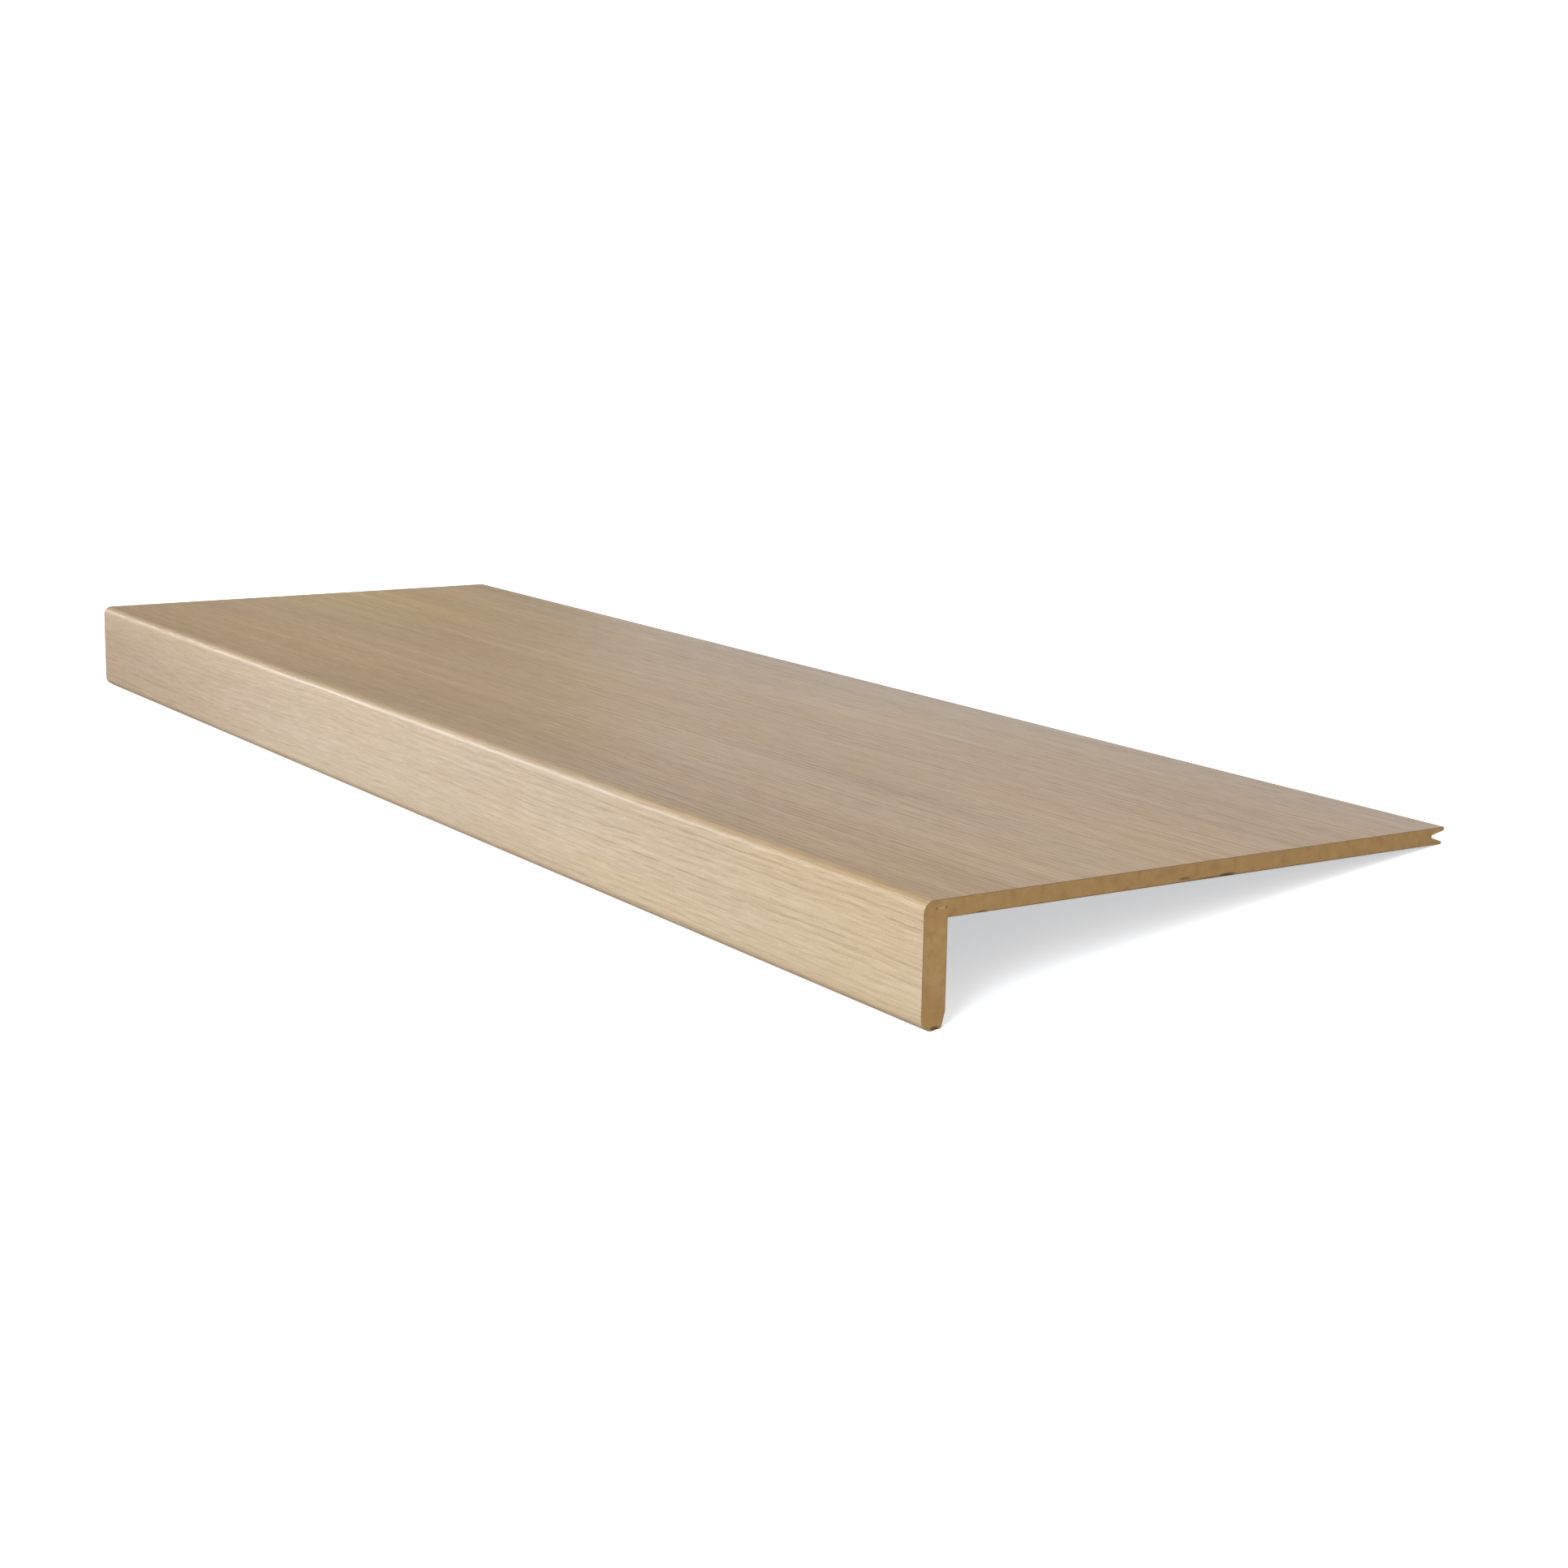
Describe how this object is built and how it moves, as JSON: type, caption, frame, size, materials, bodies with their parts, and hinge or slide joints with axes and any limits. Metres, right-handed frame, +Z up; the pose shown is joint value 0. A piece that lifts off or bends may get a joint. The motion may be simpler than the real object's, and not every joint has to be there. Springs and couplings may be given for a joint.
{
  "type": "renovation stair tread",
  "caption": "L-shaped stair tread cover: a thin wood-fibre board with a hanging nose strip, oak-look laminate wrapped over top and nose, and a grooved back edge.",
  "frame": {"origin": "middle of the base of the bounding box, on the floor, as the tread lies unheld on its nose strip and back edge", "axes": "+X along the length, +Y from the nose to the back edge, +Z up; the board leans back 9.3 degrees"},
  "size_m": [1, 0.3044, 0.0556],
  "materials": {
    "wood_fibre": "matte",
    "oak_laminate": "satin"
  },
  "bodies": {
    "root": {"tread_board": "wood_fibre", "nose_strip": "wood_fibre", "decor_laminate": "oak_laminate"}
  },
  "joints": []
}
